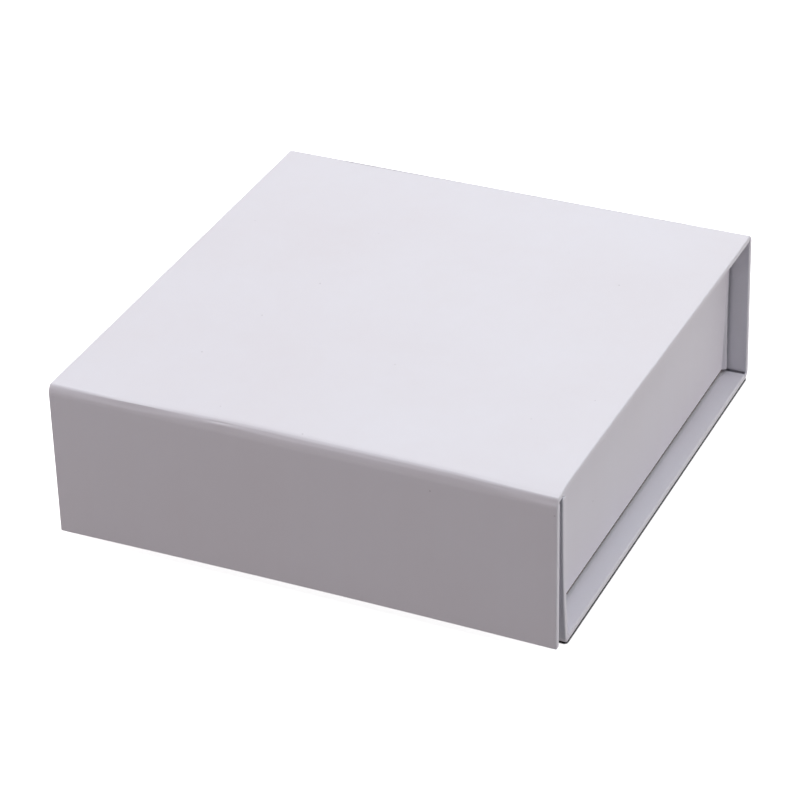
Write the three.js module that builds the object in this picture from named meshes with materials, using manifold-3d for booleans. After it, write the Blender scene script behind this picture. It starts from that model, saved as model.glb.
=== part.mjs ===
// A square jewellery gift box: five greyboard panels in one book-style strip (flap, lid, spine, base
// and front wall), set-back side walls taped up between them, and a lift-out foam pad.
// Millimetres, +Z up, the lid's flap faces -Y, the origin is the middle of the footprint.

import * as THREE from "three";
import { mergeVertices } from "three/addons/utils/BufferGeometryUtils.js";
import Module from "manifold-3d";

const wasm = await Module();
wasm.setup();

// Driving sizes. They are all multiples of an eighth, so that touching faces meet exactly.
const WIDTH = 100; // across, the length of every fold
const DEPTH = 101; // outside of the flap to outside of the spine
const HEIGHT = 32.75; // table to the top of the lid
const BOARD = 1; // greyboard
const PAPER = 0.125; // wrap paper, and the lining paper inside
const FOLD = 1.5; // the bevel that the paper makes across a fold, measured along each side
const LEDGE = 5; // how far the side walls stand in from the ends of the panels
const FLAP_GAP = 2; // the flap's inside to the front wall's outside
const FLAP_LIFT = 2; // the flap's lower edge above the table
const LID_SEAT = 0.125; // the walls' upper edges to the lid's lining
const TURN_IN = 14; // how far the wrap is turned over onto a panel's inside
const SHORT_TURN_IN = 8; // the same on the low upright panels
const HINGE_REACH = 0.85; // how much of the fold the paper spans where a panel turns past it

const EAR_WIDTH = 12;
const EAR_SLANT = 2;
const EAR_THICKNESS = 2 * PAPER;
const EAR_END_GAP = 1; // below and above an ear
const TAPE_THICKNESS = PAPER;
const TAPE_MARGIN = 2;

const MAGNET_RADIUS = 4;
const MAGNET_CLEARANCE = 0.25;
const MAGNET_SPACING = 56; // between the two magnets of a panel
const MAGNET_HEIGHT = 11; // their centres above the table
const MAGNET_SIDES = 32;

const FOAM_THICKNESS = 12;
const FLOCK_THICKNESS = 0.5;
const PAD_CLEARANCE = 0.5; // round the pad, to the walls

// Worked out from them.
const PANEL = BOARD + 2 * PAPER;
const BACK = DEPTH / 2;
const FRONT = -DEPTH / 2;
const BACK_INSIDE = BACK - PANEL;
const WALL_FRONT = FRONT + PANEL + FLAP_GAP;
const WALL_INSIDE = WALL_FRONT + PANEL;
const WALL_TOP = HEIGHT - PANEL - LID_SEAT;
const SIDE_OUTSIDE = WIDTH / 2 - LEDGE;
const SIDE_INSIDE = SIDE_OUTSIDE - PANEL;
const TRAY_DEPTH = BACK_INSIDE - WALL_INSIDE;

const COLOURS = {
  greyboard: 0x9a9388,
  wrap: 0xe6e5eb,
  lining: 0xe9e8ec,
  foam: 0xf0efec,
  flock: 0xf4f2f0,
  tape: 0xd8d2b8,
  nickel: 0xb9bcc0,
};

function material(colour, roughness = 0.7, metalness = 0) {
  return new THREE.MeshStandardMaterial({ color: COLOURS[colour], roughness, metalness });
}

// A closed geometry as a manifold solid, and back again.
function solid(geometry) {
  const bare = geometry.clone().deleteAttribute("normal").deleteAttribute("uv");
  const merged = mergeVertices(bare);
  return new wasm.Manifold(
    new wasm.Mesh({
      numProp: 3,
      vertProperties: merged.attributes.position.array,
      triVerts: new Uint32Array(merged.index.array),
    }),
  );
}

function geometryOf(manifold) {
  const mesh = manifold.getMesh();
  const geometry = new THREE.BufferGeometry();
  geometry.setAttribute("position", new THREE.BufferAttribute(mesh.vertProperties, 3));
  geometry.setIndex(new THREE.BufferAttribute(mesh.triVerts, 1));
  geometry.computeVertexNormals();
  return geometry;
}

// A box between two corners.
function block([x0, y0, z0], [x1, y1, z1]) {
  const box = new THREE.BoxGeometry(x1 - x0, y1 - y0, z1 - z0);
  return box.translate((x0 + x1) / 2, (y0 + y1) / 2, (z0 + z1) / 2);
}

// A disc that stands on z = bottom.
function disc(radius, x, y, bottom, thickness) {
  const cylinder = new THREE.CylinderGeometry(radius, radius, thickness, MAGNET_SIDES);
  return cylinder.rotateX(Math.PI / 2).translate(x, y, bottom + thickness / 2);
}

function piece(name, geometry, colour, roughness, metalness) {
  const mesh = new THREE.Mesh(geometry, material(colour, roughness, metalness));
  mesh.name = name;
  return mesh;
}

// One covered panel, lying on its outer face: x across, y along the strip from 0, z from the outer
// face inwards. The wrap goes round the edges in `wrapped` and onto the inside, and the lining lies
// between its turned-in borders. Magnets sit in holes through the board.
function panel(name, { width, length, wrapped, turnIn = TURN_IN, magnets = [] }) {
  const half = width / 2;
  const edge = (side) => (wrapped.includes(side) ? PAPER : 0);
  const border = (side) => (wrapped.includes(side) ? turnIn : 0);
  const inset = (amount, bottom, top) =>
    block(
      [-half + amount("left"), amount("start"), bottom],
      [half - amount("right"), length - amount("end"), top],
    );
  const board = inset(edge, PAPER, PAPER + BOARD);
  const lining = inset(border, PAPER + BOARD, PANEL);
  const whole = block([-half, 0, 0], [half, length, PANEL]);
  const wrap = solid(whole).subtract(solid(board)).subtract(solid(lining));

  let drilled = solid(board);
  const pocket = MAGNET_RADIUS + MAGNET_CLEARANCE;
  for (const { x, y } of magnets) {
    drilled = drilled.subtract(solid(disc(pocket, x, y, -BOARD, 3 * BOARD)));
  }

  const group = new THREE.Group();
  group.add(piece(`${name}_board`, geometryOf(drilled), "greyboard", 0.9));
  group.add(piece(`${name}_wrap`, geometryOf(wrap), "wrap", 0.55));
  group.add(piece(`${name}_lining`, lining, "lining", 0.6));
  for (const { side, x, y } of magnets) {
    const magnet = disc(MAGNET_RADIUS, x, y, PAPER, BOARD);
    group.add(piece(`${name}_magnet_${side}`, magnet, "nickel", 0.25, 1));
  }
  return group;
}

// The two magnets of an upright panel whose local y runs down from `top`.
function magnetsBelow(top) {
  const y = top - MAGNET_HEIGHT;
  return [
    { side: "left", x: -MAGNET_SPACING / 2, y },
    { side: "right", x: MAGNET_SPACING / 2, y },
  ];
}

// A bar the width of the box with the given outline in the Y-Z plane.
function bar(name, outline) {
  const shape = new THREE.Shape(outline.map(([y, z]) => new THREE.Vector2(y, z)));
  const geometry = new THREE.ExtrudeGeometry(shape, { depth: WIDTH, bevelEnabled: false });
  geometry.translate(0, 0, -WIDTH / 2);
  // The outline's x and y become Y and Z, and the bar runs along X.
  geometry.applyMatrix4(new THREE.Matrix4().set(0, 0, 1, 0, 1, 0, 0, 0, 0, 1, 0, 0, 0, 0, 0, 1));
  return piece(name, geometry, "wrap", 0.55);
}

// The paper across one fold. `corner` is where the two outer faces would meet, and toY and toZ point
// from it along the level and the upright face. The paper runs from the share `from` of the way
// across, where 0 is the upright panel's edge, to the share `to`, where 1 is the level panel's edge.
function foldPaper(name, [cornerY, cornerZ], toY, toZ, from = 0, to = 1) {
  const onFold = (share) => [cornerY + toY * FOLD * share, cornerZ + toZ * FOLD * (1 - share)];
  const inside = (share) => {
    const [y, z] = onFold(share);
    return share === 1 ? [y, z + toZ * PAPER] : [y + toY * PAPER, z];
  };
  return bar(name, [onFold(from), onFold(to), inside(to), inside(from)]);
}

// The five panels of the strip.
const base = panel("base", {
  width: WIDTH,
  length: BACK - FOLD - (WALL_FRONT + FOLD),
  wrapped: ["left", "right"],
});
base.position.set(0, WALL_FRONT + FOLD, 0);

const lid = panel("lid", {
  width: WIDTH,
  length: DEPTH - 2 * FOLD,
  wrapped: ["left", "right"],
});
lid.position.set(0, FRONT + FOLD, HEIGHT);
lid.rotation.y = Math.PI;

const spine = panel("spine", {
  width: WIDTH,
  length: HEIGHT - 2 * FOLD,
  wrapped: ["left", "right"],
  turnIn: SHORT_TURN_IN,
});
spine.position.set(0, BACK, FOLD);
spine.rotation.x = Math.PI / 2;

const frontWall = panel("front_wall", {
  width: WIDTH,
  length: WALL_TOP - FOLD,
  wrapped: ["left", "right", "start"],
  turnIn: SHORT_TURN_IN,
  magnets: magnetsBelow(WALL_TOP),
});
frontWall.position.set(0, WALL_FRONT, WALL_TOP);
frontWall.rotation.x = -Math.PI / 2;

const flapTop = HEIGHT - FOLD;
const flap = panel("flap", {
  width: WIDTH,
  length: flapTop - FLAP_LIFT,
  wrapped: ["left", "right", "end"],
  turnIn: SHORT_TURN_IN,
  magnets: magnetsBelow(flapTop),
});
flap.position.set(0, FRONT, flapTop);
flap.rotation.x = -Math.PI / 2;

// The paper across the four folds. Those of the lid and the flap stop short of the panel that turns,
// which swings about an axis inside the fold, half a millimetre in from both outer faces.
const folds = new THREE.Group();
folds.add(foldPaper("lid_hinge_paper", [BACK, HEIGHT], -1, -1, 0, HINGE_REACH));
folds.add(foldPaper("flap_hinge_paper", [FRONT, HEIGHT], 1, -1, 1 - HINGE_REACH, 1));
folds.add(foldPaper("spine_fold_paper", [BACK, 0], -1, 1));
folds.add(foldPaper("front_fold_paper", [WALL_FRONT, 0], 1, 1));

// A side wall: its cover goes over the top edge, and it stands on the base between spine and front wall.
function sideWall(side, sign) {
  const wall = panel(`side_wall_${side}`, {
    width: TRAY_DEPTH,
    length: WALL_TOP - PANEL,
    wrapped: ["end"],
    turnIn: SHORT_TURN_IN,
  });
  wall.rotation.x = Math.PI / 2;
  const turned = new THREE.Group();
  turned.add(wall);
  turned.rotation.z = (-sign * Math.PI) / 2;
  turned.position.set(sign * SIDE_OUTSIDE, (BACK_INSIDE + WALL_INSIDE) / 2, PANEL);
  return turned;
}

// An ear is the side wall's own paper, folded in round the corner, and a double-sided tape holds it
// to the spine or the front wall. Its free end is slanted so that it slides past when the box folds.
function plate(name, height, width, slant, thickness, colour) {
  const outline = new THREE.Shape([
    new THREE.Vector2(0, 0),
    new THREE.Vector2(width, slant),
    new THREE.Vector2(width, height - slant),
    new THREE.Vector2(0, height),
  ]);
  const geometry = new THREE.ExtrudeGeometry(outline, { depth: thickness, bevelEnabled: false });
  return piece(name, geometry, colour, 0.6);
}

function ear(end, side, sign) {
  const height = WALL_TOP - PANEL - 2 * EAR_END_GAP;
  const name = `${end}_${side}`;
  const group = new THREE.Group();
  const paper = plate(`ear_${name}`, height, EAR_WIDTH, EAR_SLANT, EAR_THICKNESS, "wrap");
  paper.position.z = TAPE_THICKNESS;
  group.add(paper);
  const tapeHeight = height - 2 * EAR_SLANT - TAPE_MARGIN;
  const tapeWidth = EAR_WIDTH - 2 * TAPE_MARGIN;
  const tape = plate(`ear_tape_${name}`, tapeHeight, tapeWidth, 0, TAPE_THICKNESS, "tape");
  tape.position.set(TAPE_MARGIN, (height - tapeHeight) / 2, 0);
  group.add(tape);

  // Local x runs in from the side wall, y up and z away from the panel that the ear is taped to.
  const inward = new THREE.Vector3(-sign, 0, 0);
  const up = new THREE.Vector3(0, 0, 1);
  const away = new THREE.Vector3(0, end === "back" ? -1 : 1, 0);
  group.matrixAutoUpdate = false;
  group.matrix.makeBasis(inward, up, away);
  const faceY = end === "back" ? BACK_INSIDE : WALL_INSIDE;
  group.matrix.setPosition(sign * SIDE_INSIDE, faceY, PANEL + EAR_END_GAP);
  return group;
}

// The lift-out pad: foam with a flocked sheet on top.
function pad() {
  const halfWidth = SIDE_INSIDE - PAD_CLEARANCE;
  const earDepth = EAR_THICKNESS + TAPE_THICKNESS;
  const front = WALL_INSIDE + earDepth + PAD_CLEARANCE;
  const back = BACK_INSIDE - earDepth - PAD_CLEARANCE;
  const foamTop = PANEL + FOAM_THICKNESS;
  const group = new THREE.Group();
  const foam = block([-halfWidth, front, PANEL], [halfWidth, back, foamTop]);
  const flock = block([-halfWidth, front, foamTop], [halfWidth, back, foamTop + FLOCK_THICKNESS]);
  group.add(piece("pad_foam", foam, "foam", 0.95));
  group.add(piece("pad_flock", flock, "flock", 1));
  return group;
}

const box = new THREE.Group();
box.add(base, spine, frontWall, lid, flap, folds);
for (const [side, sign] of [["left", -1], ["right", 1]]) {
  box.add(sideWall(side, sign));
  box.add(ear("back", side, sign));
  box.add(ear("front", side, sign));
}
box.add(pad());

export default box;
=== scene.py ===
import math
import bmesh
import bpy
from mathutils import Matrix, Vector, noise


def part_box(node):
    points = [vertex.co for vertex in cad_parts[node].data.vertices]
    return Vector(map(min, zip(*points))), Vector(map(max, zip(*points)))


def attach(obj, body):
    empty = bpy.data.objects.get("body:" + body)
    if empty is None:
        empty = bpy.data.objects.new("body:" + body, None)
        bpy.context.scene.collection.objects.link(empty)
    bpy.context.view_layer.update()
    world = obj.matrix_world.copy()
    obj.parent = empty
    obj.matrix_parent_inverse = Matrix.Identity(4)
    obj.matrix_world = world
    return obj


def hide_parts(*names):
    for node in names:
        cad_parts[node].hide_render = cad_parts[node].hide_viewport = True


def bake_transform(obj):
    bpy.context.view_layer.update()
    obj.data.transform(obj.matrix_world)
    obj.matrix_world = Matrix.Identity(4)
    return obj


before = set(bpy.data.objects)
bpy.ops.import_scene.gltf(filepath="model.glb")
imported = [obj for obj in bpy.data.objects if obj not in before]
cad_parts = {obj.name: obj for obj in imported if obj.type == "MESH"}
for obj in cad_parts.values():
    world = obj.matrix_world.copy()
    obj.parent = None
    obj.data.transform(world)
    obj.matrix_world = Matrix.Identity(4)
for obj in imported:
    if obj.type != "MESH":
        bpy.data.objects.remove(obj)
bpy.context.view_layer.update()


# --- Base panel -----------------------------------------------------------------------------------
# The bottom of the tray: a greyboard sheet, covered with white art paper that is turned over its two
# long edges and shows as the ledge beside the walls, and a liner glued between the turned-in borders.

MM = 0.001
PAPER = 0.125            # thickness of the cover paper and of the liner
EDGE_RADIUS = 0.26       # how round the paper goes over a board's edge
BOARD_EDGE_RADIUS = 0.2  # the cut board's own edge, pressed round under the paper
PRESSED_BOARD = 0.86     # the board's thickness once the glue has drawn it tight
CUT_STEP = 4.0           # the grid in which a panel can bend
LINER_LAP = 1.0          # the liner covers this much of the turned-in border
LINER_LIFT = 0.05        # and lies this much above it
LINER_PAPER_SHARE = 0.8  # its thickness, as a share of the cover's
LEAST_OUTLINE = 2.0      # a board's edges are longer than this, and the facets of its holes shorter
ROUNDING_STEPS = 3
SHARP_ANGLE = math.radians(38)

# Each side of an upright or level panel is called by the way that it faces.
SIDES = {"-x": (0, -1), "+x": (0, 1), "-y": (1, -1), "+y": (1, 1), "-z": (2, -1), "+z": (2, 1)}


def opposite(side):
    return ("-" if side[0] == "+" else "+") + side[1]


def smooth_step(value, start, end):
    """0 at start, 1 at end, with a soft beginning and ending."""
    t = min(1.0, max(0.0, (value - start) / (end - start)))
    return t * t * (3 - 2 * t)


def corners(node):
    """A CAD node's lowest and highest corner, in millimetres."""
    low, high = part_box(node)
    return low / MM, high / MM


def linear(hex_colour):
    """An sRGB hex colour as the linear colour that a shader takes."""
    channels = [int(hex_colour[i:i + 2], 16) / 255 for i in (1, 3, 5)]
    curve = [c / 12.92 if c <= 0.04045 else ((c + 0.055) / 1.055) ** 2.4 for c in channels]
    return (*curve, 1.0)


def add_node(tree, kind, settings=None, **links):
    """Adds a shader node. Settings go to its sockets or else to its own properties, and links join its
    sockets to outputs; an underscore in a link's name stands for a space."""
    node = tree.nodes.new(kind)
    for key, value in (settings or {}).items():
        if key in node.inputs:
            node.inputs[key].default_value = value
        else:
            setattr(node, key, value)
    for key, output in links.items():
        tree.links.new(output, node.inputs[key.replace("_", " ")])
    return node


def new_material(name):
    """An empty material with its tree, its principled shader and the piece's own coordinates."""
    made = bpy.data.materials.new(name)
    made.use_nodes = True
    tree = made.node_tree
    tree.nodes.clear()
    shader = add_node(tree, "ShaderNodeBsdfPrincipled")
    add_node(tree, "ShaderNodeOutputMaterial", Surface=shader.outputs["BSDF"])
    place = add_node(tree, "ShaderNodeTexCoord").outputs["Object"]
    return made, tree, shader, place


def per_metre(size_mm):
    """The scale of a pattern whose features are this many millimetres apart."""
    return 1 / (size_mm * MM)


def two_tones(tree, low, high, amount):
    """A colour between two tones, by an amount from 0 to 1."""
    mix = add_node(tree, "ShaderNodeMix", {"data_type": "RGBA"})
    mix.inputs[6].default_value = linear(low)
    mix.inputs[7].default_value = linear(high)
    tree.links.new(amount, mix.inputs[0])
    return mix.outputs[2]


def art_paper():
    """Art paper, coated, printed white and matt laminated. It looks smooth and soft white with a breath
    of lavender, cockles a little over the glue, and carries a few specks of dust."""
    made, tree, shader, place = new_material("matt_laminated_art_paper")
    tone = add_node(tree, "ShaderNodeTexNoise", {"Scale": per_metre(34), "Detail": 2.0}, Vector=place)
    streak_space = add_node(tree, "ShaderNodeMapping", {"Scale": (1, 1, 0.06)}, Vector=place)
    streaks = add_node(tree, "ShaderNodeTexNoise", {"Scale": per_metre(3.2), "Detail": 3.0},
                       Vector=streak_space.outputs["Vector"])
    share = add_node(tree, "ShaderNodeMath", {"operation": "MULTIPLY_ADD"})
    share.inputs[1].default_value = 0.35
    tree.links.new(streaks.outputs["Fac"], share.inputs[0])
    tree.links.new(tone.outputs["Fac"], share.inputs[2])
    paper = two_tones(tree, "#e8e4ea", "#ecebf3", share.outputs["Value"])

    # Dust: one speck in most cells of a coarse grid, each a few tenths of a millimetre across.
    cells = add_node(tree, "ShaderNodeTexVoronoi", {"Scale": per_metre(9)}, Vector=place)
    speck = add_node(tree, "ShaderNodeMapRange", {"From Min": 0.010, "From Max": 0.026,
                     "To Min": 0.35, "To Max": 0.0}, Value=cells.outputs["Distance"])
    dusted = add_node(tree, "ShaderNodeMix", {"data_type": "RGBA"})
    dusted.inputs[7].default_value = linear("#8d8890")
    tree.links.new(speck.outputs["Result"], dusted.inputs[0])
    tree.links.new(paper, dusted.inputs[6])
    tree.links.new(dusted.outputs[2], shader.inputs["Base Color"])

    fibres = add_node(tree, "ShaderNodeTexNoise", {"Scale": per_metre(0.45), "Detail": 4.0},
                      Vector=place)
    cockle = add_node(tree, "ShaderNodeTexNoise", {"Scale": per_metre(11), "Detail": 1.0},
                      Vector=place)
    sheen = add_node(tree, "ShaderNodeMapRange", {"To Min": 0.50, "To Max": 0.60},
                     Value=fibres.outputs["Fac"])
    tree.links.new(sheen.outputs["Result"], shader.inputs["Roughness"])
    waves = add_node(tree, "ShaderNodeBump", {"Strength": 1.0, "Distance": 0.06 * MM},
                     Height=cockle.outputs["Fac"])
    grain = add_node(tree, "ShaderNodeBump", {"Strength": 0.5, "Distance": 0.006 * MM},
                     Height=fibres.outputs["Fac"], Normal=waves.outputs["Normal"])
    tree.links.new(grain.outputs["Normal"], shader.inputs["Normal"])
    shader.inputs["IOR"].default_value = 1.45
    return made


def liner_paper():
    """Uncoated woodfree paper. It looks a little warmer and duller than the cover, with a fine tooth."""
    made, tree, shader, place = new_material("uncoated_liner_paper")
    tone = add_node(tree, "ShaderNodeTexNoise", {"Scale": per_metre(5), "Detail": 5.0}, Vector=place)
    paper = two_tones(tree, "#e5e3e6", "#edebee", tone.outputs["Fac"])
    tree.links.new(paper, shader.inputs["Base Color"])
    shader.inputs["Roughness"].default_value = 0.85
    tooth = add_node(tree, "ShaderNodeTexNoise", {"Scale": per_metre(0.3), "Detail": 5.0},
                     Vector=place)
    bump = add_node(tree, "ShaderNodeBump", {"Strength": 0.7, "Distance": 0.02 * MM},
                    Height=tooth.outputs["Fac"])
    tree.links.new(bump.outputs["Normal"], shader.inputs["Normal"])
    return made


def greyboard():
    """Greyboard, pressed from recycled pulp. It looks grey-brown, with darker and lighter fibres."""
    made, tree, shader, place = new_material("pressed_greyboard")
    pulp = add_node(tree, "ShaderNodeTexNoise", {"Scale": per_metre(0.8), "Detail": 6.0},
                    Vector=place)
    board = two_tones(tree, "#57524a", "#7d766a", pulp.outputs["Fac"])
    tree.links.new(board, shader.inputs["Base Color"])
    shader.inputs["Roughness"].default_value = 0.95
    bump = add_node(tree, "ShaderNodeBump", {"Strength": 0.8, "Distance": 0.05 * MM},
                    Height=pulp.outputs["Fac"])
    tree.links.new(bump.outputs["Normal"], shader.inputs["Normal"])
    return made


ART_PAPER = art_paper()
LINER_PAPER = liner_paper()
GREYBOARD = greyboard()


def add_piece(name, shape, finish, replaced, body=None):
    """Turns a shape built in millimetres into a piece that stands for its CAD nodes."""
    bmesh.ops.recalc_face_normals(shape, faces=shape.faces)
    bmesh.ops.scale(shape, vec=(MM, MM, MM), verts=shape.verts)
    mesh = bpy.data.meshes.new(name)
    shape.to_mesh(mesh)
    shape.free()
    mesh.shade_smooth()
    mesh.set_sharp_from_angle(angle=SHARP_ANGLE)
    mesh.materials.append(finish)
    piece = bpy.data.objects.new(name, mesh)
    bpy.context.scene.collection.objects.link(piece)
    even = piece.modifiers.new("even_shading", "WEIGHTED_NORMAL")
    even.keep_sharp = True
    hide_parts(*replaced)
    if body:
        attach(piece, body)
    return piece


def cut_across(shape, axis, places):
    """Cuts every face of the shape along planes across an axis."""
    for place in places:
        at = Vector((0, 0, 0))
        at[axis] = place
        across = Vector((0, 0, 0))
        across[axis] = 1
        everything = shape.verts[:] + shape.edges[:] + shape.faces[:]
        bmesh.ops.bisect_plane(shape, geom=everything, plane_co=at, plane_no=across, dist=1e-4)


def even_cuts(low, high):
    """Places between two ends, a cut step or less apart."""
    count = max(2, math.ceil((high - low) / CUT_STEP))
    return [low + (high - low) * i / count for i in range(1, count)]


def rounded_box(low, high, sharp_pairs):
    """A box with rounded edges, apart from the edges between the given pairs of sides."""
    shape = bmesh.new()
    bmesh.ops.create_cube(shape, size=1)
    for vertex in shape.verts:
        vertex.co = Vector([low[i] if vertex.co[i] < 0 else high[i] for i in range(3)])

    def side_of(face):
        axis = max(range(3), key=lambda i: abs(face.normal[i]))
        return ("+" if face.normal[axis] > 0 else "-") + "xyz"[axis]

    shape.normal_update()
    rounded = [edge for edge in shape.edges
               if {side_of(face) for face in edge.link_faces} not in sharp_pairs]
    bmesh.ops.bevel(shape, geom=rounded, offset=EDGE_RADIUS, segments=ROUNDING_STEPS, profile=0.5,
                    affect="EDGES", clamp_overlap=True)
    return shape


def paper_skin(shape, thickness, settle):
    """Bends an open surface as the piece has settled, and gives it the thickness of paper."""
    for vertex in shape.verts:
        vertex.co = settle(vertex.co)
    shape.normal_update()
    bmesh.ops.solidify(shape, geom=shape.faces[:], thickness=thickness)


def cad_shape(node):
    """A copy of a CAD node's own shape in millimetres, with its corners joined up."""
    shape = bmesh.new()
    shape.from_mesh(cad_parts[node].data)
    bmesh.ops.scale(shape, vec=(1 / MM, 1 / MM, 1 / MM), verts=shape.verts)
    bmesh.ops.remove_doubles(shape, verts=shape.verts, dist=1e-3)
    bmesh.ops.dissolve_limit(shape, angle_limit=math.radians(1), verts=shape.verts,
                             edges=shape.edges)
    return shape


def as_built(point):
    """A piece that stays as it was made."""
    return point


def covered_panel(name, body, outer, borders, folds, settle=as_built, settle_cover=None, creases=(),
                  bare=()):
    """A board, its cover and its liner. The cover takes the outer side, the sides in `borders` and a
    border of that width inside each, and the liner takes the rest and the ends at the folds. Creases
    are further lines, as (axis, place), where it can all bend. The board stays bare at some ends."""
    low, high = corners(f"{name}_wrap")
    inner = opposite(outer)
    thick_axis = SIDES[outer][0]
    spans = [axis for axis in range(3) if axis != thick_axis]
    open_edges = [{side, end} for side in (outer, inner) for end in (*folds, *bare)]

    def plane_of(side):
        axis, sign = SIDES[side]
        return axis, sign, high[axis] if sign > 0 else low[axis]

    def depth(point, side):
        """How far inside a side of the panel the point lies."""
        axis, sign, plane = plane_of(side)
        return (plane - point[axis]) * sign

    def within(point, lap):
        """Whether the point is inside all borders, but for the lap."""
        return all(depth(point, side) >= width - lap for side, width in borders.items())

    def at_bare_end(face):
        return any(face.normal[SIDES[end][0]] * SIDES[end][1] > 0.9 for end in bare)

    def cut_up(shape, lines=()):
        """Cuts the shape where it can bend and along the given lines."""
        for axis in spans:
            cut_across(shape, axis, even_cuts(low[axis], high[axis]))
        for axis, place in [*lines, *creases]:
            cut_across(shape, axis, [place])
        shape.normal_update()

    def border_lines(lap):
        for side, width in borders.items():
            axis, sign, plane = plane_of(side)
            yield axis, plane - sign * (width - lap)

    board = cad_shape(f"{name}_board")
    middle_plane = (low[thick_axis] + high[thick_axis]) / 2
    for vertex in board.verts:
        away = vertex.co[thick_axis] - middle_plane
        vertex.co[thick_axis] = middle_plane + away * PRESSED_BOARD
    outline = [edge for edge in board.edges
               if edge.calc_length() > LEAST_OUTLINE and edge.calc_face_angle(0) > 1]
    bmesh.ops.bevel(board, geom=outline, offset=BOARD_EDGE_RADIUS, segments=2, profile=0.5,
                    affect="EDGES")
    cut_up(board)
    for vertex in board.verts:
        vertex.co = settle(vertex.co)
    add_piece(f"{name}_greyboard", board, GREYBOARD, [f"{name}_board"], body)

    cover = rounded_box(low, high, open_edges)
    cut_up(cover, border_lines(0))
    spare = [face for face in cover.faces if at_bare_end(face)
             or within(face.calc_center_median(), 0)
             and depth(face.calc_center_median(), outer) > PAPER]
    bmesh.ops.delete(cover, geom=spare, context="FACES")
    paper_skin(cover, PAPER, settle_cover or settle)
    add_piece(f"{name}_cover", cover, ART_PAPER, [f"{name}_wrap"], body)

    lift = Vector((0, 0, 0))
    lift[thick_axis] = LINER_LIFT * SIDES[inner][1]
    for fold in folds:
        lift[SIDES[fold][0]] += LINER_LIFT * SIDES[fold][1]
    liner_low = Vector([low[i] + min(lift[i], 0) for i in range(3)])
    liner_high = Vector([high[i] + max(lift[i], 0) for i in range(3)])
    liner = rounded_box(liner_low, liner_high, open_edges)
    cut_up(liner, border_lines(LINER_LAP))
    spare = [face for face in liner.faces if at_bare_end(face)
             or not within(face.calc_center_median(), LINER_LAP)
             or depth(face.calc_center_median(), outer) < PAPER]
    bmesh.ops.delete(liner, geom=spare, context="FACES")
    paper_skin(liner, LINER_PAPER_SHARE * PAPER, settle)
    add_piece(f"{name}_liner", liner, LINER_PAPER, [f"{name}_lining"], body)


TURN_IN = corners("lid_lining")[0].x - corners("lid_wrap")[0].x
SHORT_TURN_IN = corners("spine_lining")[0].x - corners("spine_wrap")[0].x

covered_panel("base", "tray", "-z", {"-x": TURN_IN, "+x": TURN_IN}, ["-y", "+y"])


# --- Spine ----------------------------------------------------------------------------------------
# The upright back panel, hinged to the base below and to the lid above by the cover paper alone. It
# leans out a little, more at its foot.

SPINE_LEAN = 0.30  # outwards at the foot
spine_top = corners("spine_wrap")[1].z


def settled_spine(point):
    x, y, z = point
    return Vector((x, y + SPINE_LEAN * smooth_step(z, spine_top, 0), z))


covered_panel("spine", "tray", "+y", {"-x": SHORT_TURN_IN, "+x": SHORT_TURN_IN}, ["-z", "+z"],
              settled_spine)


# --- Front wall -----------------------------------------------------------------------------------
# The tray's full-width front, with two magnets let into its board. It bellies out at the top, and
# its foot stays in where the paper turns under the base.

WALL_BELLY = 0.15  # outwards over the upper half
WALL_FOOT = 1.05   # how much further in the foot is than the upper half
WALL_CURVE_HEIGHT = 20.0


def nickel():
    """Nickel-plated sintered magnet. It looks bright, slightly yellowish and finely tumbled."""
    made, tree, shader, place = new_material("nickel_plated_magnet")
    grain = add_node(tree, "ShaderNodeTexNoise", {"Scale": per_metre(0.5), "Detail": 4.0},
                     Vector=place)
    plating = two_tones(tree, "#b9b7b0", "#d2d0c8", grain.outputs["Fac"])
    tree.links.new(plating, shader.inputs["Base Color"])
    shader.inputs["Metallic"].default_value = 1.0
    worn = add_node(tree, "ShaderNodeMapRange", {"To Min": 0.2, "To Max": 0.34},
                    Value=grain.outputs["Fac"])
    tree.links.new(worn.outputs["Result"], shader.inputs["Roughness"])
    return made


NICKEL = nickel()
RIM_RADIUS = 0.12


def settled_front_wall(point):
    x, y, z = point
    below = max(0.0, 1 - z / WALL_CURVE_HEIGHT)
    return Vector((x, y - WALL_BELLY + WALL_FOOT * below * below, z))


def magnets(name, body, settle):
    """Two round magnets, let into holes through the board and hidden by the paper on both sides. A
    magnet is a disc with a softened rim."""
    for side in ("left", "right"):
        disc = cad_shape(f"{name}_magnet_{side}")
        rim = [edge for edge in disc.edges if edge.calc_face_angle(0) > 1]
        bmesh.ops.bevel(disc, geom=rim, offset=RIM_RADIUS, segments=2, profile=0.5, affect="EDGES")
        for vertex in disc.verts:
            vertex.co = settle(vertex.co)
        add_piece(f"{name}_magnet_disc_{side}", disc, NICKEL,
                  [f"{name}_magnet_{side}"], body)


covered_panel("front_wall", "tray", "-y",
              {"-x": SHORT_TURN_IN, "+x": SHORT_TURN_IN, "+z": SHORT_TURN_IN}, ["-z"],
              settled_front_wall)
magnets("front_wall", "tray", settled_front_wall)


# --- Side walls -----------------------------------------------------------------------------------
# They stand a ledge's width in from the ends. Their paper goes over the top edge, and at both ends it
# folds round the corner as an ear; the fold stands out a little at its foot. It is cut off just above
# the ledge, where the bare board shows as a dark line: partly the board's own grey, partly painted
# shade, as the dark board stands in for the deep shade at the wall's foot.

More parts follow.
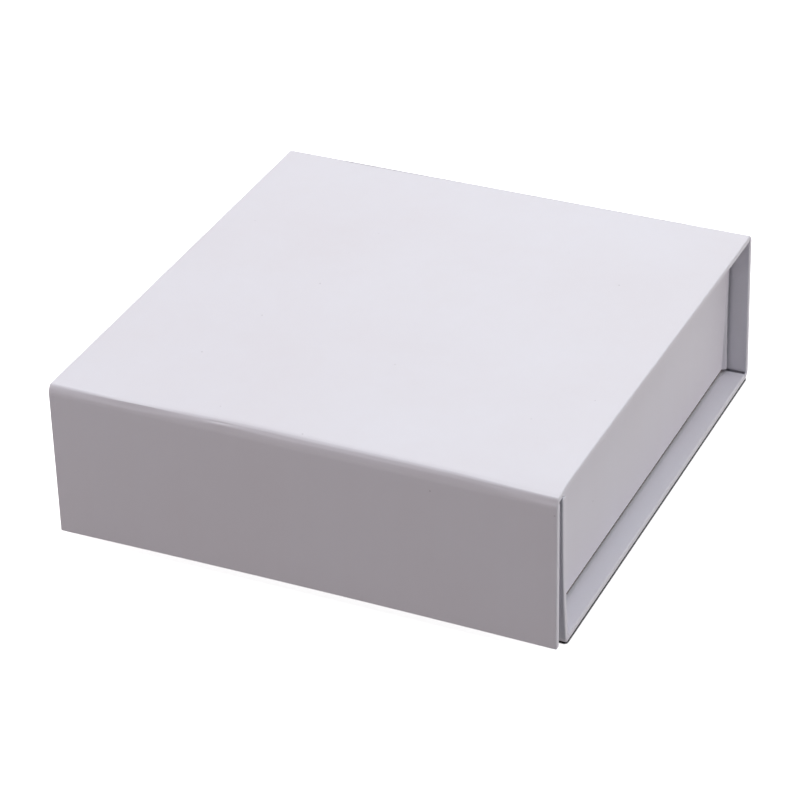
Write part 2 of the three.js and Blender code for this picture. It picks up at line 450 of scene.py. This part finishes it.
END_BORDER = 1.5
FOOT_GAP = 0.85        # the paper stops this far above the wall's foot, baring the dark board as a partly painted shade line
END_GAP = 0.5          # and its back end clears the spine
EAR_BULGE = 0.8        # how far the fold stands out at its foot
EAR_FOLD_WIDTH = 1.0   # from the fold to the wall's end
EAR_FOLD_BEND = 0.35   # across the bend itself
BACK_LEAN = 1.0        # the wall leans out by this at the top of its back end
WALL_OUT = 0.4         # and stands out by this all along
FOLLOWED = 12.0        # over this way from its ends the wall follows the front wall and the spine
FOOT_HEIGHT = 2.0      # the paper is drawn up from the wall's foot over this height
CORNER = 0.6           # the outer face begins this far in from its plane
side_low, side_high = corners("side_wall_right_wrap")
ear_crease = side_high.y - EAR_FOLD_WIDTH


def settled_side_wall(point):
    x, y, z = point
    front = smooth_step(y, side_low.y + FOLLOWED, side_low.y)
    back = smooth_step(y, side_high.y - FOLLOWED, side_high.y)
    shift = front * (settled_front_wall(point).y - y) + back * (settled_spine(point).y - y - END_GAP)
    up = (z - side_low.z) / (side_high.z - side_low.z)
    lean = BACK_LEAN * up * smooth_step(y, side_low.y, side_high.y)
    return Vector((x + math.copysign(WALL_OUT + lean, x), y + shift, z))


def settled_side_cover(point):
    x, y, z = point
    outer_face = smooth_step(abs(x), side_high.x - CORNER, side_high.x)
    past_crease = smooth_step(y, ear_crease - EAR_FOLD_BEND, ear_crease)
    down = (side_high.z - z) / (side_high.z - side_low.z)
    bulge = EAR_BULGE * past_crease * outer_face * down * down
    # Partly painted shade: the paper is drawn up off the foot so that the dark bare board shows where
    # the shade at the wall's foot falls.
    foot = smooth_step(z, side_low.z + FOOT_HEIGHT, side_low.z)
    return settled_side_wall(point) + Vector((math.copysign(bulge, x), 0, FOOT_GAP * foot))


for side, outer in (("left", "-x"), ("right", "+x")):
    covered_panel(f"side_wall_{side}", "tray", outer,
                  {"-y": END_BORDER, "+y": END_BORDER, "+z": SHORT_TURN_IN}, [],
                  settled_side_wall, settled_side_cover,
                  [(1, ear_crease - EAR_FOLD_BEND * share) for share in (0, 0.33, 0.67, 1)], ["-z"])


# --- Ears and their tapes -------------------------------------------------------------------------
# The ends of the side walls' paper, folded in and stuck to the spine and to the front wall with
# double-sided tape. Their free ends are cut at a slant.

def tissue_tape():
    """Double-sided tissue tape. It looks like thin, yellowish, slightly glossy tissue."""
    made, tree, shader, place = new_material("double_sided_tissue_tape")
    fleece = add_node(tree, "ShaderNodeTexNoise", {"Scale": per_metre(1.2), "Detail": 5.0},
                      Vector=place)
    tape = two_tones(tree, "#cfc7a8", "#dfd9c4", fleece.outputs["Fac"])
    tree.links.new(tape, shader.inputs["Base Color"])
    shader.inputs["Roughness"].default_value = 0.4
    return made


TISSUE_TAPE = tissue_tape()

for end, settle in (("back", settled_spine), ("front", settled_front_wall)):
    for side in ("left", "right"):
        for kind, finish, slot in (("ear", ART_PAPER, "wrap_paper"),
                                   ("ear_tape", TISSUE_TAPE, "adhesive_tape")):
            node = f"{kind}_{end}_{side}"
            shape = cad_shape(node)
            low, high = corners(node)
            cut_across(shape, 2, even_cuts(low.z, high.z))
            for vertex in shape.verts:
                vertex.co = settle(vertex.co)
            add_piece(f"{node}_sheet", shape, finish, [node], "tray")


# --- Lid ------------------------------------------------------------------------------------------
# The top panel, covered like the base. It lies on the walls and crowns a little towards the front,
# where the flap's fold props it, apart from the left end. Its front edge isn't quite parallel to its
# back edge.

LID_SKEW = 0.003         # the front edge comes forward by this for each millimetre to the right
LID_HOLLOW = 0.15        # but stays back by this in the middle
HOLLOW_PLACE = 0.55      # as a share of the way along the lid from its left end
HOLLOW_WIDTH = 0.28
LID_RISE = 0.6           # how high the lid crowns
CROWN_START = 0.12       # the crown begins here along the lid
CROWN_FULL = 0.42        # and is full from here on
CROWN_BACK = 8.0         # it is full from here, behind the front edge, to the edge
RIGHT_END = 0.8          # the right end begins here along the lid
RIGHT_RISE = 0.7         # the share of the crown that it has
LID_PINCH = 0.25         # the right edge is drawn in by as much as this where the lid is highest
LID_PRESS = 0.25         # the fold has pressed the edge down again by this share of the crown
LID_PRESS_WIDTH = 0.9    # over this way
RIGHT_PRESS_WIDTH = 6.0  # and, at the right end, by all of it over this way
LID_CREASES = 6
lid_low, lid_high = corners("lid_wrap")


def along_lid(x):
    """0 at the lid's left end, 1 at its right end."""
    return (x - lid_low.x) / (lid_high.x - lid_low.x)


def around(value, place, width):
    """1 at the place, falling off to 0 on both sides."""
    return math.exp(-((value - place) / width) ** 2)


def settled_lid(point):
    x, y, z = point
    along = along_lid(x)
    forward = LID_SKEW * x - LID_HOLLOW * around(along, HOLLOW_PLACE, HOLLOW_WIDTH)
    right_end = smooth_step(along, RIGHT_END, 1)
    press_width = LID_PRESS_WIDTH + (RIGHT_PRESS_WIDTH - LID_PRESS_WIDTH) * right_end
    pressed = min(1.0, max(0.0, 1 - (y - lid_low.y) / press_width)) ** 2
    rise = smooth_step(y, lid_high.y, lid_low.y + CROWN_BACK)
    rise *= smooth_step(along, CROWN_START, CROWN_FULL) * (1 - (1 - RIGHT_RISE) * right_end)
    rise *= 1 - pressed * (LID_PRESS + (1 - LID_PRESS) * right_end)
    pinch = LID_PINCH * rise * smooth_step(x, 0, lid_high.x)
    forward *= smooth_step(y, lid_high.y, lid_low.y)
    return Vector((x - pinch, y - forward, z + LID_RISE * rise))


covered_panel("lid", "lid", "+z", {"-x": TURN_IN, "+x": TURN_IN}, ["-y", "+y"], settled_lid,
              creases=[(1, lid_low.y + LID_PRESS_WIDTH * i / LID_CREASES)
                       for i in range(1, LID_CREASES + 1)])


# --- Flap -----------------------------------------------------------------------------------------
# The front flap with its two magnets. It hangs from the lid's paper, leans out at its lower edge, and
# its board has sagged at both ends, more at the left.

FLAP_IN = 0.55         # how far its upper edge stands in
FLAP_OUT = 0.25        # and its lower edge out
FLAP_DROP = 0.16       # how far its middle has dropped
FLAP_SAG = 0.40        # and its ends more than that
FLAP_TILT = 0.20       # more at the left and less at the right
FLAP_PRESS = 0.06      # how far its upper edge is pressed in
FLAP_PRESS_WIDTH = 0.7
FLAP_CREASES = 4
flap_low, flap_high = corners("flap_wrap")


def settled_flap(point):
    x, y, z = point
    down = (flap_high.z - z) / (flap_high.z - flap_low.z)
    along = x / flap_high.x
    drop = FLAP_DROP + FLAP_SAG * along ** 2 - FLAP_TILT * along
    pressed = min(1.0, max(0.0, 1 - (flap_high.z - z) / FLAP_PRESS_WIDTH)) ** 2
    lean = FLAP_IN - (FLAP_IN + FLAP_OUT) * down
    return Vector((x, y + lean + FLAP_PRESS * pressed, z - drop * down))


covered_panel("flap", "flap", "-y",
              {"-x": SHORT_TURN_IN, "+x": SHORT_TURN_IN, "-z": SHORT_TURN_IN}, ["+z"], settled_flap,
              creases=[(2, flap_high.z - FLAP_PRESS_WIDTH * i / FLAP_CREASES)
                       for i in range(1, FLAP_CREASES + 1)])
magnets("flap", "flap", settled_flap)


# --- Folds ----------------------------------------------------------------------------------------
# Between two boards the cover and the liner are glued to each other only, and cross the gap as a
# bevel with two creases. Pressed over the boards' edges by hand, the creases wander and are crisp in
# some places and soft in others. At both ends the paper is turned in.

FOLD_PAPER = 0.2        # cover and liner together
FOLD_STATIONS = 160
ACROSS_STATIONS = 24
END_CLOSING = 0.96      # how far the turned-in ends close the gap between the boards
END_ANGLES = [math.radians(angle) for angle in (0, 30, 60)]
CREASE_WAVE = 0.07      # how far the paper wanders in and out
WAVE_LENGTH = 15.0
FLAP_DENT = 0.08        # how deep the flap's fold is dented beside its first crease
DENT_PLACE = 0.42       # the dents' middle, as a share of the way across
DENT_SPREAD = 0.07
DENT_LENGTH = 6.0
FLAP_WANDER = 0.05      # how far the flap's creases wander, as a share of the way to the corner
CRISP_PLACE = 0.2       # they are crispest here along the lid
CRISP_WIDTH = 0.09


def wander(x, length, seed):
    """A slow, uneven wave along the fold, about -1 to 1."""
    return 1.6 * noise.noise(Vector((x / length, seed, 0.3)))


def bevel_place(start, end, bevel, t):
    """A place on the way from start to end. The two creases stand at shares of the ways from there to
    the boards' common corner, each drawn in by a slope, and the softness rounds them off."""
    first, second, softness, first_slope, second_slope = bevel
    across, upright = end.x - start.x, end.y - start.y
    first_drop = math.copysign(first * abs(across) * first_slope, upright)
    second_shift = math.copysign(second * abs(upright) * second_slope, across)
    a = start + Vector((first * across, first_drop))
    b = end - Vector((second_shift, second * upright))
    stretch = min(2, int(3 * t))
    leg = (start, a, b, end)[stretch:stretch + 2]
    crisp = leg[0].lerp(leg[1], 3 * t - stretch)
    s = 1 - t
    soft = start * s ** 3 + a * 3 * s * s * t + b * 3 * s * t * t + end * t ** 3
    return crisp.lerp(soft, softness)


def fold_strip(name, node, start, end, inner_corner, bevel, settle_start, settle_end, seed, dent=0.0,
               body=None):
    """The paper from a level panel's edge to an upright one's, as (y, z) places in a section of the
    box. `bevel` gives both creases and the softness at each x. The ends are turned in."""
    low, high = corners("base_wrap")

    def crossing(x, inset=0.0, closing=0.0, sideways=0.0):
        """The outer and the inner side of the paper in the section at x. The turned-in ends close over
        the gap between the boards, and there the paper's thickness lies sideways, along x."""
        from_place = settle_start(Vector((x, *start)))
        to_place = settle_end(Vector((x, *end)))
        inner_place = Vector((x, *inner_corner))
        inside = settle_start(inner_place).lerp(settle_end(inner_place), 0.5)
        under_start = settle_start(Vector((x, start[0], inner_corner[1])))
        under_end = settle_end(Vector((x, inner_corner[0], end[1])))
        corner = Vector((to_place.y, from_place.z))
        outwards = (corner - inside.yz).normalized()
        places = []
        for i in range(ACROSS_STATIONS + 1):
            t = i / ACROSS_STATIONS
            place = bevel_place(from_place.yz, to_place.yz, bevel(x), t)
            between = math.sin(math.pi * smooth_step(t, 0.15, 1)) ** 2
            push = CREASE_WAVE * wander(x, WAVE_LENGTH, seed) * between
            dented = max(0.0, wander(x, DENT_LENGTH, seed + 5)) ** 2
            push -= dent * around(t, DENT_PLACE, DENT_SPREAD) * dented
            if t < 0.5:
                across_gap = under_start.lerp(inside, 2 * t)
            else:
                across_gap = inside.lerp(under_end, 2 * t - 1)
            places.append((place + outwards * (push - inset)).lerp(across_gap.yz, closing))
        sides = ([], [])
        for i, place in enumerate(places):
            along = places[min(i + 1, ACROSS_STATIONS)] - places[max(i - 1, 0)]
            inwards = Vector((-along.y, along.x)).normalized()
            if inwards.dot(outwards) > 0:
                inwards.negate()
            row_x = from_place.x + (to_place.x - from_place.x) * i / ACROSS_STATIONS
            under = place + inwards * FOLD_PAPER * math.sqrt(1 - sideways ** 2)
            sides[0].append(Vector((row_x, *place)))
            sides[1].append(Vector((row_x + FOLD_PAPER * sideways, *under)))
        return sides

    def turned_in_end(x, way):
        """The sections from the closed end at x round onto the fold, which goes on in the way given."""
        closed = [crossing(x, EDGE_RADIUS, END_CLOSING * share, way) for share in (1, 0.67, 0.33)]
        rounded = [crossing(x + way * EDGE_RADIUS * (1 - math.cos(angle)),
                            EDGE_RADIUS * (1 - math.sin(angle)), sideways=way * math.cos(angle))
                   for angle in END_ANGLES]
        return closed + rounded

    inner_low, inner_high = low.x + EDGE_RADIUS, high.x - EDGE_RADIUS
    sections = turned_in_end(low.x, 1)
    sections += [crossing(inner_low + (inner_high - inner_low) * i / FOLD_STATIONS)
                 for i in range(FOLD_STATIONS + 1)]
    sections += turned_in_end(high.x, -1)[::-1]

    shape = bmesh.new()
    rings = [[shape.verts.new(point) for point in outer + inner[::-1]] for outer, inner in sections]
    for ring, next_ring in zip(rings, rings[1:]):
        for i in range(len(ring)):
            j = (i + 1) % len(ring)
            shape.faces.new((ring[i], ring[j], next_ring[j], next_ring[i]))
    for ring in (rings[0], rings[-1]):
        for i in range(ACROSS_STATIONS):
            shape.faces.new((ring[i], ring[i + 1], ring[-2 - i], ring[-1 - i]))
    return add_piece(name, shape, ART_PAPER, [node], body)


def even_bevel(x):
    """Both creases alike and soft, as a machine's roller leaves them."""
    return 0.4, 0.4, 0.8, 0, 0


def flap_bevel(x):
    """Crisp near the left end, soft at both ends. In the middle the first crease leaves the lid already
    on a slope, and the second stands high."""
    along = along_lid(x)
    middle = smooth_step(along, 0.25, 0.38) * smooth_step(along, 0.95, RIGHT_END)
    crisp = around(along, CRISP_PLACE, CRISP_WIDTH)
    first = 0.42 + 0.12 * smooth_step(along, 0.35, 0.1) + FLAP_WANDER * wander(x, 8, 71)
    second = 0.3 + 0.3 * middle - 0.15 * smooth_step(along, RIGHT_END, 1)
    second += FLAP_WANDER * wander(x, 11, 83)
    softness = 0.95 - 0.65 * crisp - 0.4 * middle
    first_slope = 0.55 * smooth_step(along, CROWN_START, CROWN_FULL) * smooth_step(along, 1, RIGHT_END)
    second_slope = 2 * FLAP_PRESS / FLAP_PRESS_WIDTH
    return first, second, softness, first_slope, second_slope


base_low, base_high = corners("base_wrap")
spine_low, spine_high = corners("spine_wrap")
wall_low, wall_high = corners("front_wall_wrap")

fold_strip("spine_fold", "spine_fold_paper", (base_high.y, base_low.z), (spine_high.y, spine_low.z),
           (spine_low.y, base_high.z), even_bevel, as_built, settled_spine, 11, body="tray")
fold_strip("front_fold", "front_fold_paper", (base_low.y, base_low.z), (wall_low.y, wall_low.z),
           (wall_high.y, base_high.z), even_bevel, as_built, settled_front_wall, 23, body="tray")
lid_hinge = fold_strip("lid_hinge_fold", "lid_hinge_paper", (lid_high.y, lid_high.z),
                       (spine_high.y, spine_high.z), (spine_low.y, lid_low.z), even_bevel,
                       settled_lid, settled_spine, 37)
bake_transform(lid_hinge)
flap_hinge = fold_strip("flap_hinge_fold", "flap_hinge_paper", (lid_low.y, lid_high.z),
                        (flap_low.y, flap_high.z), (flap_high.y, lid_low.z), flap_bevel,
                        settled_lid, settled_flap, 230, FLAP_DENT)
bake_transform(flap_hinge)


# --- Jewellery pad --------------------------------------------------------------------------------
# A lift-out block of white foam with a flocked sheet on top. Two slits hold rings or a chain, and the
# flocking dips into them.

PAD_CORNER_RADIUS = 2.0
PAD_EDGE_RADIUS = 0.8
SLIT_LENGTH = 34.0
SLIT_HALF_WIDTH = 0.9
SLIT_DEPTH = 7.0
SLIT_SPACING = 28.0
SLIT_DIP = 0.25          # the flocking sinks by this much round a slit
FLOCK = 0.45             # thickness of the flocked sheet
PAD_GRID = 24            # even steps across the pad


def pad_foam():
    """Cross-linked polyethylene foam. It looks dull white, with fine closed cells on its cut sides."""
    made, tree, shader, place = new_material("polyethylene_foam")
    cells = add_node(tree, "ShaderNodeTexVoronoi", {"Scale": per_metre(0.5)}, Vector=place)
    foam = two_tones(tree, "#e2e0dc", "#f3f2ee", cells.outputs["Distance"])
    tree.links.new(foam, shader.inputs["Base Color"])
    shader.inputs["Roughness"].default_value = 0.8
    bump = add_node(tree, "ShaderNodeBump", {"Strength": 0.8, "Distance": 0.12 * MM},
                    Height=cells.outputs["Distance"])
    tree.links.new(bump.outputs["Normal"], shader.inputs["Normal"])
    return made


def pad_flocking():
    """Rayon flock, electrostatically set. It looks like short velvet pile: soft white, lighter at
    grazing angles, with brushed patches."""
    made, tree, shader, place = new_material("flocked_velvet")
    brushed = add_node(tree, "ShaderNodeTexNoise", {"Scale": per_metre(9), "Detail": 3.0,
                       "Distortion": 1.5}, Vector=place)
    pile = add_node(tree, "ShaderNodeTexNoise", {"Scale": per_metre(0.25), "Detail": 3.0},
                    Vector=place)
    share = add_node(tree, "ShaderNodeMath", {"operation": "MULTIPLY_ADD"})
    share.inputs[1].default_value = 0.5
    tree.links.new(pile.outputs["Fac"], share.inputs[0])
    tree.links.new(brushed.outputs["Fac"], share.inputs[2])
    flock = two_tones(tree, "#d9d7da", "#f4f2f3", share.outputs["Value"])
    tree.links.new(flock, shader.inputs["Base Color"])
    shader.inputs["Roughness"].default_value = 1.0
    shader.inputs["Sheen Weight"].default_value = 0.6
    shader.inputs["Sheen Roughness"].default_value = 0.4
    bump = add_node(tree, "ShaderNodeBump", {"Strength": 1.0, "Distance": 0.12 * MM},
                    Height=pile.outputs["Fac"])
    tree.links.new(bump.outputs["Normal"], shader.inputs["Normal"])
    return made


foam_low, foam_high = corners("pad_foam")
flock_high = corners("pad_flock")[1]
pad_half_x = foam_high.x
pad_half_y = (foam_high.y - foam_low.y) / 2
pad_middle_y = (foam_high.y + foam_low.y) / 2


def grid_lines(half, close_places):
    """Lines across the pad: an even grid, close together at the edges and at the slits."""
    lines = {round(-half + 2 * half * i / PAD_GRID, 3) for i in range(PAD_GRID + 1)}
    for near in (0.1, 0.3, 0.6, 1.0, 1.6):
        lines |= {round(half - near, 3), round(near - half, 3)}
    lines |= {round(place, 3) for place in close_places}
    return sorted(lines)


slit_steps = [SLIT_HALF_WIDTH * share for share in (0, 0.35, 0.7, 1.0, 1.3, 1.8, 2.6)]
slit_rows = [centre + sign * step for centre in (-SLIT_SPACING / 2, SLIT_SPACING / 2)
             for step in slit_steps for sign in (-1, 1)]
slit_ends = [sign * (SLIT_LENGTH / 2 + step) for sign in (-1, 1)
             for step in (-1.2, -0.6, 0, 0.6, 1.2)]
pad_columns = grid_lines(pad_half_x, slit_ends)
pad_rows = grid_lines(pad_half_y, slit_rows)


def pad_point(x, y, top):
    """A place on the pad's top: rounded corners and edges, and the two slits."""
    room = max(0.0, min(pad_half_x - abs(x), pad_half_y - abs(y)))
    drop = 0.0
    if room < PAD_EDGE_RADIUS:
        drop = PAD_EDGE_RADIUS - math.sqrt(PAD_EDGE_RADIUS ** 2 - (PAD_EDGE_RADIUS - room) ** 2)
    for centre in (-SLIT_SPACING / 2, SLIT_SPACING / 2):
        past_end = max(0.0, abs(x) - SLIT_LENGTH / 2)
        away = math.hypot(y - centre, past_end)
        drop += SLIT_DEPTH * smooth_step(away, 1.3 * SLIT_HALF_WIDTH, 0)
        drop += SLIT_DIP * smooth_step(away, 5 * SLIT_HALF_WIDTH, 0)
    over_x = abs(x) - (pad_half_x - PAD_CORNER_RADIUS)
    over_y = abs(y) - (pad_half_y - PAD_CORNER_RADIUS)
    if over_x > 0 and over_y > 0:
        shrink = max(over_x, over_y) / math.hypot(over_x, over_y)
        x = math.copysign(pad_half_x - PAD_CORNER_RADIUS + over_x * shrink, x)
        y = math.copysign(pad_half_y - PAD_CORNER_RADIUS + over_y * shrink, y)
    return Vector((x, y + pad_middle_y, top - drop))


def pad_block(top, under):
    """A closed block: the pad's top at the height `top`, and below it what `under` gives."""
    shape = bmesh.new()
    upper = [[shape.verts.new(pad_point(x, y, top)) for x in pad_columns] for y in pad_rows]
    lower = [[shape.verts.new(under(vertex.co)) for vertex in row] for row in upper]
    for sheet in (upper, lower):
        for row, next_row in zip(sheet, sheet[1:]):
            for a, b, c, d in zip(row, row[1:], next_row[1:], next_row):
                shape.faces.new((a, b, c, d))

    def rim(sheet):
        left = [row[0] for row in sheet[1:-1]]
        right = [row[-1] for row in sheet[1:-1]]
        return sheet[0] + right + sheet[-1][::-1] + left[::-1]

    top_rim, low_rim = rim(upper), rim(lower)
    for i in range(len(top_rim)):
        j = (i + 1) % len(top_rim)
        shape.faces.new((top_rim[i], top_rim[j], low_rim[j], low_rim[i]))
    return shape


foam = add_piece("foam_block", pad_block(foam_high.z, lambda p: Vector((p.x, p.y, foam_low.z))),
                 pad_foam(), ["pad_foam"], "pad")
flock = add_piece("flocked_top_sheet",
                  pad_block(flock_high.z, lambda p: Vector((p.x, p.y, p.z - FLOCK))),
                  pad_flocking(), ["pad_flock"], "pad")


# --- Studio ---------------------------------------------------------------------------------------
# A pale floor inside a white tent with five soft boxes: overhead, low from the right and the front,
# and weaker ones from behind and from the left. The camera looks down at the front right corner.

FLOOR_SIZE = 8.0
FLOOR_GAP = 0.18 * MM     # the box stands on its own unevenness, and its edges clear the floor by this
CONTACT_REACH = 0.6 * MM  # how near something must be for the floor to get its painted contact shade
SHADED, OPEN = 0.55, 0.9  # how open to its surroundings the floor is where its painted contact shade is full, and where it ends
FLOOR_GLOW = 0.85         # painted light: the floor glows this strongly, though it is no lamp, which takes the soft shadows away


def pale_floor():
    """Matt white studio board. It looks plain and pale, with the faintest mottle, and has painted
    contact
    shade: dark only where something all but touches it."""
    made, tree, shader, place = new_material("white_studio_board")
    mottle = add_node(tree, "ShaderNodeTexNoise", {"Scale": 3.0}, Vector=place)
    board = two_tones(tree, "#fbfbfc", "#ffffff", mottle.outputs["Fac"])
    near = add_node(tree, "ShaderNodeAmbientOcclusion", {"Distance": CONTACT_REACH})
    clear = add_node(tree, "ShaderNodeMapRange", {"From Min": SHADED, "From Max": OPEN},
                     Value=near.outputs["AO"])
    # Painted contact shadow: the floor's colour goes to this near-black where ambient occlusion finds
    # the box close.
    painted_contact_shade = add_node(tree, "ShaderNodeMix", {"data_type": "RGBA"})
    painted_contact_shade.inputs[6].default_value = linear("#2b2a2c")
    tree.links.new(clear.outputs["Result"], painted_contact_shade.inputs[0])
    tree.links.new(board, painted_contact_shade.inputs[7])
    tree.links.new(painted_contact_shade.outputs[2], shader.inputs["Base Color"])
    # Painted light: the floor glows, though it is no lamp, everywhere but under its painted contact
    # shade.
    glow = add_node(tree, "ShaderNodeMapRange", {"To Max": FLOOR_GLOW}, Value=clear.outputs["Result"])
    tree.links.new(glow.outputs["Result"], shader.inputs["Emission Strength"])
    shader.inputs["Emission Color"].default_value = linear("#ffffff")
    shader.inputs["Roughness"].default_value = 0.9
    shader.inputs["Specular IOR Level"].default_value = 0.0
    return made


floor_shape = bmesh.new()
bmesh.ops.create_grid(floor_shape, x_segments=1, y_segments=1, size=FLOOR_SIZE / 2)
floor_mesh = bpy.data.meshes.new("floor")
floor_shape.to_mesh(floor_mesh)
floor_shape.free()
floor_mesh.materials.append(pale_floor())
floor = bpy.data.objects.new("floor", floor_mesh)
floor.location.z = -FLOOR_GAP
floor.visible_diffuse = False
bpy.context.scene.collection.objects.link(floor)


def soft_box(name, place, size, watts, colour):
    """A square soft light at a place, turned to the box."""
    light = bpy.data.lights.new(name, "AREA")
    light.shape = "SQUARE"
    light.size = size
    light.energy = watts
    light.color = linear(colour)[:3]
    lamp = bpy.data.objects.new(name, light)
    lamp.location = place
    lamp.rotation_euler = Vector(place).to_track_quat("Z", "Y").to_euler()
    bpy.context.scene.collection.objects.link(lamp)


soft_box("overhead_soft_box", (0.0, 0.0, 1.4), 1.6, 14.5, "#f6fcff")
soft_box("right_soft_box", (1.6, 0.45, 0.3), 0.7, 9.6, "#fff6f7")
soft_box("front_soft_box", (-0.6, -1.6, 0.3), 0.8, 4.95, "#ffe4e6")
soft_box("back_soft_box", (-0.2, 1.3, 0.9), 1.0, 7.0, "#fdfffb")
soft_box("left_soft_box", (-1.5, 0.1, 0.7), 0.9, 7.9, "#ffe1e1")

# The tent's cloth: it gives little light itself, but is seen as white as the floor.
CLOTH_LIGHT = 0.105
CLOTH_SEEN = 1.2
world = bpy.data.worlds.new("studio")
world.use_nodes = True
cloth = world.node_tree.nodes["Background"]
cloth.inputs["Color"].default_value = linear("#fbffff")
ray = add_node(world.node_tree, "ShaderNodeLightPath")
strength = add_node(world.node_tree, "ShaderNodeMapRange", {"To Min": CLOTH_LIGHT, "To Max": CLOTH_SEEN},
                    Value=ray.outputs["Is Camera Ray"])
world.node_tree.links.new(strength.outputs["Result"], cloth.inputs["Strength"])
bpy.context.scene.world = world
bpy.context.scene.view_settings.view_transform = "Standard"

camera_data = bpy.data.cameras.new("camera")
camera_data.sensor_width = 36
camera_data.lens = 137.0
camera = bpy.data.objects.new("camera", camera_data)
camera.location = (0.21307, -0.44668, 0.32202)
camera.rotation_euler = [math.radians(a) for a in (57.94, 1.83, 24.68)]
bpy.context.scene.collection.objects.link(camera)
bpy.context.scene.camera = camera
